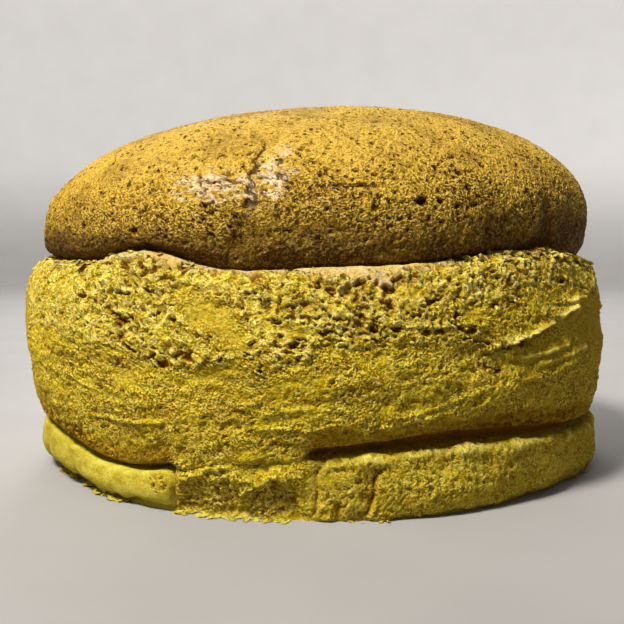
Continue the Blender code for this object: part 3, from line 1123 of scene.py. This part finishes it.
class Material:
    """A Principled material under construction, with short calls for the nodes that it needs."""

    def __init__(self, name):
        self.material = bpy.data.materials.new(name)
        self.material.use_nodes = True
        self.tree = self.material.node_tree
        self.shader = self.tree.nodes["Principled BSDF"]
        self.place = self.node("ShaderNodeTexCoord").outputs["Object"]

    def node(self, kind, inputs=(), **settings):
        made = self.tree.nodes.new(kind)
        for key, value in settings.items():
            setattr(made, key, value)
        for key, value in dict(inputs).items():
            self.put(made.inputs[key], value)
        return made

    def put(self, socket, value):
        if isinstance(value, bpy.types.NodeSocket):
            self.tree.links.new(value, socket)
        else:
            socket.default_value = value

    def attribute(self, name):
        return self.node("ShaderNodeAttribute", attribute_name=name).outputs["Fac"]

    def height(self):
        """Height above the base in mm."""
        z = self.node("ShaderNodeSeparateXYZ", {"Vector": self.place}).outputs["Z"]
        return self.sum("MULTIPLY", z, 1 / MM)

    def noise(self, size, detail=2.0, stretch=(1, 1, 1), roughness=0.5):
        """Noise of about 0.2 to 0.8 with lumps of the given size in mm."""
        place = self.place
        if stretch != (1, 1, 1):
            place = self.node("ShaderNodeMapping", {"Vector": place, "Scale": stretch}).outputs["Vector"]
        settings = {"Vector": place, "Scale": 1 / (size * MM), "Detail": detail, "Roughness": roughness}
        return self.node("ShaderNodeTexNoise", settings).outputs["Fac"]

    def pinholes(self, size):
        """1 in small scattered pits, about as far apart as size in mm, 0 between them."""
        stir = self.node("ShaderNodeTexNoise", {"Vector": self.place, "Scale": 1 / (0.7 * size * MM)})
        stir = self.node(
            "ShaderNodeVectorMath", {0: stir.outputs["Color"], "Scale": 0.45 * size * MM}, operation="SCALE"
        )
        place = self.node("ShaderNodeVectorMath", {0: self.place, 1: stir.outputs[0]}, operation="ADD")
        cells = self.node("ShaderNodeTexVoronoi", {"Vector": place.outputs[0], "Scale": 1 / (size * MM)})
        pick = self.node("ShaderNodeSeparateColor", {"Color": cells.outputs["Color"]}).outputs["Red"]
        reach = self.between(pick, 0.25, 1.0, 0.05, 0.34)
        return self.between(self.sum("SUBTRACT", reach, cells.outputs["Distance"]), -0.03, 0.08)

    def sum(self, operation, first, second=0.0, third=0.0):
        return self.node("ShaderNodeMath", {0: first, 1: second, 2: third}, operation=operation).outputs[0]

    def between(self, value, low, high, start=0.0, end=1.0):
        """Value taken smoothly from low..high to start..end."""
        limits = {"Value": value, "From Min": low, "From Max": high, "To Min": start, "To Max": end}
        made = self.node("ShaderNodeMapRange", limits, interpolation_type="SMOOTHSTEP")
        return made.outputs["Result"]

    def ramp(self, value, stops):
        """Colour from (position, colour) stops."""
        made = self.node("ShaderNodeValToRGB", {"Fac": value})
        elements = made.color_ramp.elements
        while len(elements) < len(stops):
            elements.new(0.5)
        for element, (position, colour) in zip(elements, stops):
            element.position = position
            element.color = colour
        return made.outputs["Color"]

    def mix(self, share, first, second, blend="MIX"):
        made = self.node("ShaderNodeMix", data_type="RGBA", blend_type=blend)
        self.put(made.inputs["Factor"], share)
        colours = [socket for socket in made.inputs if socket.type == "RGBA"]
        self.put(colours[0], first)
        self.put(colours[1], second)
        return next(socket for socket in made.outputs if socket.type == "RGBA")

    def bump(self, layers):
        """Bump from (height value, depth in mm) layers, the coarsest first."""
        normal = None
        for height, depth in layers:
            inputs = {"Height": height, "Strength": 1.0, "Distance": depth * MM}
            if normal:
                inputs["Normal"] = normal
            normal = self.node("ShaderNodeBump", inputs).outputs["Normal"]
        self.put(self.shader.inputs["Normal"], normal)

    def finish(self, colour, roughness, specular):
        self.put(self.shader.inputs["Base Color"], colour)
        self.put(self.shader.inputs["Roughness"], roughness)
        self.put(self.shader.inputs["Specular IOR Level"], specular)
        return self.material


# CRUMB_DARK, CRUMB_TAN and CRUMB_BRIGHT give the crumb's own tones, and also paint shade in low relief and highlights
# on raised crumb.
CRUMB_DARK = srgb(136, 98, 0)
CRUMB_MIDDLE = srgb(175, 151, 0)
CRUMB_LIGHT = srgb(206, 182, 58)
CRUMB_BRIGHT = srgb(230, 212, 112)
CRUMB_BROWN = srgb(154, 133, 0)
CRUMB_TAN = srgb(154, 120, 44)
CRUMB_GREEN = srgb(168, 153, 10)
# Painted shade for the right and far left sides.
CRUMB_SIDE_SHADE = srgb(128, 98, 16)
# Painted shade for pores, gaps and the crease.
HOLLOW_SHADE = srgb(130, 82, 12)
SMOOTH_SKIN = srgb(148, 122, 38)
SMOOTH_DEEP = srgb(130, 104, 22)
LIME_SKIN = srgb(180, 168, 66)
LIME_DEEP = srgb(156, 142, 34)
PALE_SKIN = srgb(178, 158, 118)
TAN_SKIN = srgb(180, 146, 70)


def crumb_material():
    """Matcha sponge: sandy yellow-green crumb with pale skin at the torn rim; brown painted shade in its pores, gaps
    and crease, in low relief and on its right and far left sides, and painted highlights on raised crumb.
    """
    made = Material("matcha_crumb")
    names = ("pore_and_shade", "raise", "torn", "pale", "smooth")
    pore_and_shade, rise, torn, pale, smooth = (made.attribute(name) for name in names)
    fractal = made.noise(2.2, 5.0, (1, 1, 1.35), 0.72)
    fine = made.noise(0.56, 1.4, roughness=0.6)
    loose = made.sum("SUBTRACT", 1.0, made.sum("MULTIPLY", smooth, 0.85))
    across = made.node("ShaderNodeSeparateXYZ", {"Vector": made.place}).outputs["X"]
    # Painted shade: darker towards the right side and towards the far left side.
    side_shade = made.between(across, 0.45 * BELLY_RADIUS, 0.95 * BELLY_RADIUS, 0.0, 0.4)
    side_shade = made.sum("ADD", side_shade, made.between(across, -BELLY_RADIUS, -0.65 * BELLY_RADIUS, 0.35, 0.0))
    open_crumb = made.ramp(
        fractal, [(0.35, CRUMB_DARK), (0.42, CRUMB_MIDDLE), (0.49, CRUMB_LIGHT), (0.59, CRUMB_BRIGHT)]
    )
    streaks = made.noise(5.5, 5.0, (1, 1, 2.2), 0.62)
    worn = made.ramp(streaks, [(0.36, CRUMB_BROWN), (0.48, CRUMB_MIDDLE), (0.58, CRUMB_GREEN), (0.68, CRUMB_LIGHT)])
    colour = made.mix(made.sum("ADD", made.sum("MULTIPLY", torn, 0.8), 0.15), worn, open_crumb)
    patches = made.between(made.noise(10, 3.0, (1, 1, 1.6)), 0.46, 0.64)
    colour = made.mix(made.sum("MULTIPLY", patches, 0.15), colour, CRUMB_TAN)
    skin = made.ramp(streaks, [(0.40, SMOOTH_DEEP), (0.56, SMOOTH_SKIN)])
    colour = made.mix(made.sum("MULTIPLY", smooth, 0.9), colour, skin)
    cream = made.ramp(made.noise(5, 4.0), [(0.42, PALE_SKIN), (0.62, TAN_SKIN)])
    lime = made.ramp(streaks, [(0.42, LIME_DEEP), (0.58, LIME_SKIN)])
    cream = made.mix(made.between(made.height(), 17, 22), lime, cream)
    colour = made.mix(pale, colour, cream)
    # Painted shade on the right and far left sides.
    colour = made.mix(side_shade, colour, CRUMB_SIDE_SHADE)
    sandy = made.between(made.noise(6.0, 3.0, (1, 1, 1.5)), 0.38, 0.58, 0.45, 1.0)
    sandy = made.sum("MULTIPLY", sandy, loose)
    sandy = made.sum("MULTIPLY", sandy, made.between(across, -BELLY_RADIUS, -0.65 * BELLY_RADIUS, 0.3, 1.0))
    sandy = made.sum("MULTIPLY", sandy, made.between(pale, 0, 1, 1.0, 0.5))
    dark = made.sum("MULTIPLY", made.between(fine, 0.49, 0.42), sandy)
    dark = made.sum("MULTIPLY", dark, made.between(torn, 0, 1, 1.0, 0.75))
    colour = made.mix(dark, colour, CRUMB_DARK)
    bright = made.sum("MULTIPLY", made.between(fine, 0.52, 0.58), sandy)
    colour = made.mix(made.sum("MULTIPLY", bright, 0.5), colour, CRUMB_BRIGHT)
    # Painted shade in low relief (tan, then dark) and painted highlight on raised crumb.
    low = made.sum("MULTIPLY", made.between(rise, 0.15, -0.5, 0.0, 0.6), made.between(torn, 0, 1, 0.35, 1.0))
    colour = made.mix(low, colour, CRUMB_TAN)
    colour = made.mix(made.between(rise, -0.4, -1.0, 0.0, 0.6), colour, CRUMB_DARK)
    high = made.sum("MULTIPLY", made.between(rise, 0.35, 1.1, 0.0, 0.6), made.between(pale, 0, 1, 1.0, 0.2))
    colour = made.mix(high, colour, CRUMB_BRIGHT)
    # Painted shade in pores, gaps and the crease.
    colour = made.mix(made.between(pore_and_shade, 0.12, 0.9, 0.0, 0.95), colour, HOLLOW_SHADE)
    open_share = made.sum("MULTIPLY", made.between(torn, 0.0, 1.0, 0.22, 0.8), loose)
    made.bump([(made.sum("MULTIPLY", fractal, open_share), 1.5), (made.sum("MULTIPLY", fine, sandy), 1.2)])
    made.shader.inputs["Subsurface Weight"].default_value = 0.3
    made.shader.inputs["Subsurface Radius"].default_value = (1.0, 0.5, 0.08)
    made.shader.inputs["Subsurface Scale"].default_value = 1.0 * MM
    return made.finish(colour, 0.95, 0.04)


# CRUST_UNDER: dark brown of the cap's underside, partly browning and partly painted shade; it also paints the shadow
# band low on the left.
CRUST_UNDER = srgb(80, 52, 8)
CRUST_SIDE = srgb(146, 112, 16)
CRUST_UPPER = srgb(186, 146, 34)
CRUST_CROWN = srgb(194, 156, 56)
CRUST_LIGHT = srgb(218, 188, 102)
# Painted highlight on the glossy patch.
CRUST_GLOSS_HIGHLIGHT = srgb(212, 186, 142)
CRUST_GREEN = srgb(172, 148, 26)
# Painted shade in pits, cracks, pinholes and low relief, and the colour of dark specks.
PIT_SHADE_AND_SPECKS = srgb(80, 44, 0)


def crust_material():
    """The cap's baked skin: gold on top and browner down its side, partly browning and partly painted shade, with more
    painted shade to the right and in a band low on the left; pitted, with painted shade in its pits, cracks and low
    relief; and a glossy crackled patch whose pale colour is a painted highlight.
    """
    made = Material("browned_crust")
    pore_and_shade, rise, crackle = (made.attribute(name) for name in ("pore_and_shade", "raise", "torn"))
    # Tone by height, darker down the side: partly browning, partly painted shade.
    level = made.sum("ADD", made.height(), made.between(made.noise(16, 3.0), 0.3, 0.7, -3, 3))
    across = made.node("ShaderNodeSeparateXYZ", {"Vector": made.place}).outputs["X"]
    # Painted shade: darker towards the right.
    level = made.sum("ADD", level, made.between(across, -CAP_RADIUS, CAP_RADIUS, 1.5, -4.5))
    height = made.between(level, 54, 94)
    tone = made.ramp(height, [(0.02, CRUST_UNDER), (0.17, CRUST_SIDE), (0.42, CRUST_UPPER), (0.75, CRUST_CROWN)])
    green = made.between(made.noise(5, 3.0), 0.5, 0.68)
    tone = made.mix(made.sum("MULTIPLY", green, 0.3), tone, CRUST_GREEN)
    # Painted shadow: a dark band low on the left of the cap, just above the belly.
    ragged = made.sum("ADD", made.height(), made.between(made.noise(3.5, 4.0), 0.3, 0.7, -1.8, 1.8))
    shadow_band = made.between(across, -0.25 * CAP_RADIUS, -0.5 * CAP_RADIUS)
    shadow_band = made.sum("MULTIPLY", shadow_band, made.between(ragged, 63.2, 61.6))
    tone = made.mix(made.sum("MULTIPLY", shadow_band, 0.8), tone, CRUST_UNDER)
    fractal = made.noise(1.6, 4.0, roughness=0.7)
    fine = made.noise(0.56, 1.4, roughness=0.6)
    coarse = made.between(height, 0.75, 0.25, 0.54, 1.0)
    coarse = made.sum("MULTIPLY", coarse, made.between(height, 0.06, 0.2, 0.4, 1.0))
    coarse = made.sum("MULTIPLY", coarse, made.between(crackle, 0, 1, 1.0, 0.5))
    coarse = made.sum("MULTIPLY", coarse, made.between(shadow_band, 0, 1, 1.0, 0.4))
    coarse = made.sum("MULTIPLY", coarse, made.between(across, -CAP_RADIUS, -0.5 * CAP_RADIUS, 0.5, 1.0))
    dark = made.sum("MULTIPLY", made.between(fractal, 0.47, 0.38), coarse)
    tone = made.mix(made.sum("MULTIPLY", dark, 0.6), tone, PIT_SHADE_AND_SPECKS)
    dark = made.sum("MULTIPLY", made.between(fine, 0.48, 0.41), coarse)
    tone = made.mix(made.sum("MULTIPLY", dark, 0.66), tone, PIT_SHADE_AND_SPECKS)
    bright = made.sum("MULTIPLY", made.between(fine, 0.52, 0.58), coarse)
    tone = made.mix(made.sum("MULTIPLY", bright, 0.56), tone, CRUST_LIGHT)
    # Glossy patches: lower roughness and more specular, and a pale painted highlight.
    gloss_and_highlight = made.sum("MULTIPLY", crackle, made.between(made.noise(3.0, 5.0, (1, 1, 1.8), 0.7), 0.41, 0.55))
    tone = made.mix(made.sum("MULTIPLY", gloss_and_highlight, 0.75), tone, CRUST_GLOSS_HIGHLIGHT)
    # Painted shade in low relief.
    tone = made.mix(made.between(rise, 0.0, -0.5, 0.0, 0.5), tone, PIT_SHADE_AND_SPECKS)
    # Painted shade in pores, cracks and pinholes.
    pinholes = made.pinholes(1.5)
    colour = made.mix(made.between(pore_and_shade, 0.12, 0.7, 0.0, 0.9), tone, PIT_SHADE_AND_SPECKS)
    colour = made.mix(made.sum("MULTIPLY", pinholes, 0.95), colour, PIT_SHADE_AND_SPECKS)
    rough_side = made.sum("MULTIPLY", fine, coarse)
    made.bump([(fractal, 0.8), (rough_side, 1.2), (made.sum("MULTIPLY", pinholes, -1.0), 0.4)])
    roughness = made.sum("SUBTRACT", 0.7, made.sum("MULTIPLY", gloss_and_highlight, 0.3))
    return made.finish(colour, roughness, made.sum("ADD", 0.1, made.sum("MULTIPLY", gloss_and_highlight, 0.8)))


def floor_material():
    made = Material("pale_floor")
    tone = made.ramp(made.noise(40, 4.0), [(0.3, srgb(148, 145, 142)), (0.7, srgb(152, 149, 146))])
    upper = made.ramp(made.noise(40, 4.0), [(0.3, srgb(202, 199, 196)), (0.7, srgb(206, 203, 199))])
    tone = made.mix(made.between(made.height(), 5, 170), tone, upper)
    return made.finish(tone, 0.6, 0.25)


# ---------------------------------------------------------------- stage

FLOOR_RADIUS = 0.85
SWEEP = 0.35
WALL_TOP = 0.95

def add_stage():
    """A pale round floor that curves up into a pale wall all round."""
    climb = np.linspace(0, np.pi / 2, 24)
    outline = [(0.0, 0.0), (FLOOR_RADIUS / 2, 0.0)]
    outline += [(FLOOR_RADIUS + SWEEP * np.sin(a), SWEEP * (1 - np.cos(a))) for a in climb]
    outline.append((FLOOR_RADIUS + SWEEP, WALL_TOP))
    sides = 96
    turn = np.arange(sides) * 2 * np.pi / sides
    points = [(r * np.cos(a), r * np.sin(a), z) for r, z in outline for a in turn]
    faces = [
        (k * sides + i, k * sides + (i + 1) % sides, (k + 1) * sides + (i + 1) % sides, (k + 1) * sides + i)
        for k in range(len(outline) - 1)
        for i in range(sides)
    ]
    mesh = bpy.data.meshes.new("floor")
    mesh.from_pydata(points, [], faces)
    mesh.shade_smooth()
    mesh.materials.append(floor_material())
    floor = bpy.data.objects.new("floor", mesh)
    bpy.context.scene.collection.objects.link(floor)


def add_light(name, place, aim, size, power, colour=(1, 1, 1), spread=180):
    lamp = bpy.data.lights.new(name, "AREA")
    lamp.shape = "DISK"
    lamp.size = size
    lamp.energy = power
    lamp.spread = np.radians(spread)
    lamp.color = colour
    made = bpy.data.objects.new(name, lamp)
    made.location = place
    made.rotation_mode = "QUATERNION"
    made.rotation_quaternion = (Vector(aim) - Vector(place)).to_track_quat("-Z", "Y")
    bpy.context.scene.collection.objects.link(made)


def room_light():
    """Even pale light, which looks brighter behind the cake than it shines."""
    world = bpy.data.worlds.new("room")
    world.use_nodes = True
    nodes, links = world.node_tree.nodes, world.node_tree.links
    shine, look = nodes["Background"], nodes.new("ShaderNodeBackground")
    for background, strength in ((shine, 0.035), (look, 0.75)):
        background.inputs["Color"].default_value = (0.94, 0.92, 0.90, 1)
        background.inputs["Strength"].default_value = strength
    both = nodes.new("ShaderNodeMixShader")
    links.new(nodes.new("ShaderNodeLightPath").outputs["Is Camera Ray"], both.inputs["Fac"])
    links.new(shine.outputs[0], both.inputs[1])
    links.new(look.outputs[0], both.inputs[2])
    links.new(both.outputs[0], nodes["World Output"].inputs["Surface"])
    return world


def add_lights():
    centre = (0, 0, 50 * MM)
    add_light("key", (-0.34, -0.48, 0.84), centre, 0.22, 3.5, (1.0, 0.98, 0.94), 80)
    add_light("side", (-0.85, -0.60, 0.40), centre, 0.4, 0.08, (1.0, 0.98, 0.95), 90)
    add_light("back", (-0.10, 1.00, 0.55), centre, 0.5, 1.0, spread=90)
    for turn, power in ((45, 8.4), (135, 8.0), (225, 1.7), (315, 1.2)):
        away = np.array([np.cos(np.radians(turn)), np.sin(np.radians(turn))])
        add_light("wall", (*(0.35 * away), 0.80), (*(1.2 * away), 0.35), 0.5, power)
    bpy.context.scene.world = room_light()


def add_camera():
    """A close, nearly level view of the front."""
    data = bpy.data.cameras.new("camera")
    data.sensor_width = 36
    data.lens = 57.2
    data.clip_start = 0.01
    camera = bpy.data.objects.new("camera", data)
    camera.location = (-0.3 * MM, -286 * MM, 63.5 * MM)
    camera.rotation_euler = (np.radians(90 - 4.8), 0, 0)
    bpy.context.scene.collection.objects.link(camera)
    bpy.context.scene.camera = camera


def main():
    bpy.context.scene.view_settings.view_transform = "Standard"
    add_camera()
    add_stage()
    add_lights()
    crumb = crumb_material()
    crust = crust_material()
    pieces = add_wall(crumb, crust)
    for piece in pieces:
        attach(piece, "root")
        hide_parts("cheesecake")


main()
